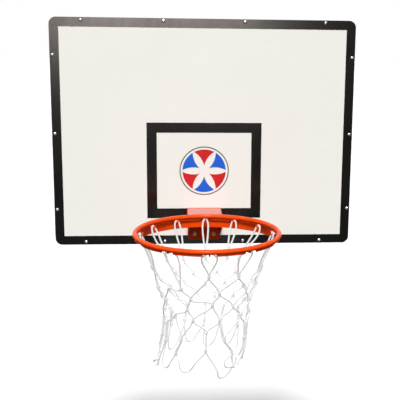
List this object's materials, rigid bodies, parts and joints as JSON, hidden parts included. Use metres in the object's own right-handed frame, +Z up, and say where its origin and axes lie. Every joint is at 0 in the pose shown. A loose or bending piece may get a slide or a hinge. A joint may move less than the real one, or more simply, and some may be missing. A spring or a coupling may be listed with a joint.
{
  "type": "basketball backboard",
  "caption": "Wall-mounted basketball backboard with a riveted black border and target, a steel frame behind it, a bolted orange-red ring with hooks, and a white net.",
  "frame": {"origin": "middle of the four wall holes, on the plane of the wall channels' back faces", "axes": "+X to the right seen from the court, +Y into the wall, +Z up; the board's face looks to -Y"},
  "size_m": [1.085, 0.664, 1.133],
  "materials": {
    "white_laminate": "warm white, satin",
    "black_film": "black, semi-gloss",
    "grey_film": "dark grey, semi-gloss",
    "blue_film": "blue, semi-gloss",
    "red_film": "red, semi-gloss",
    "ring_paint": "orange-red powder coat, glossy",
    "frame_paint": "black powder coat, satin",
    "zinc_steel": "bright zinc",
    "dark_steel": "worn zinc with a film of rust",
    "net_cord": "white braided nylon, matt"
  },
  "bodies": {
    "backboard": {"board_panel": "white_laminate", "border_film": "black_film", "border_rivets": "zinc_steel", "bracket_back_plate": "ring_paint", "bracket_gusset_left": "ring_paint", "bracket_gusset_right": "ring_paint", "bracket_top_plate": "ring_paint", "emblem_blue_film": "blue_film", "emblem_outline_film": "grey_film", "emblem_red_film": "red_film", "net_hooks": "ring_paint", "net_wire": "ring_paint", "rail_bottom": "frame_paint", "rail_left": "frame_paint", "rail_right": "frame_paint", "rail_top": "frame_paint", "ring_bolt_washers": "dark_steel", "ring_bolts": "dark_steel", "ring_brace": "ring_paint", "ring_nut_washers": "dark_steel", "ring_nuts": "dark_steel", "ring_rod": "ring_paint", "stile_left": "frame_paint", "stile_right": "frame_paint", "target_film": "black_film", "wall_channel_lower": "frame_paint", "wall_channel_upper": "frame_paint"},
    "net": {"net_cords": "net_cord"}
  },
  "joints": [
    {"name": "net_swing", "type": "hinge", "parent": "backboard", "child": "net", "pos_m": [0, -0.423, -0.28], "axis": [1, 0, 0], "range_deg": [-12, 12], "deforming": ["net_cords"]}
  ]
}
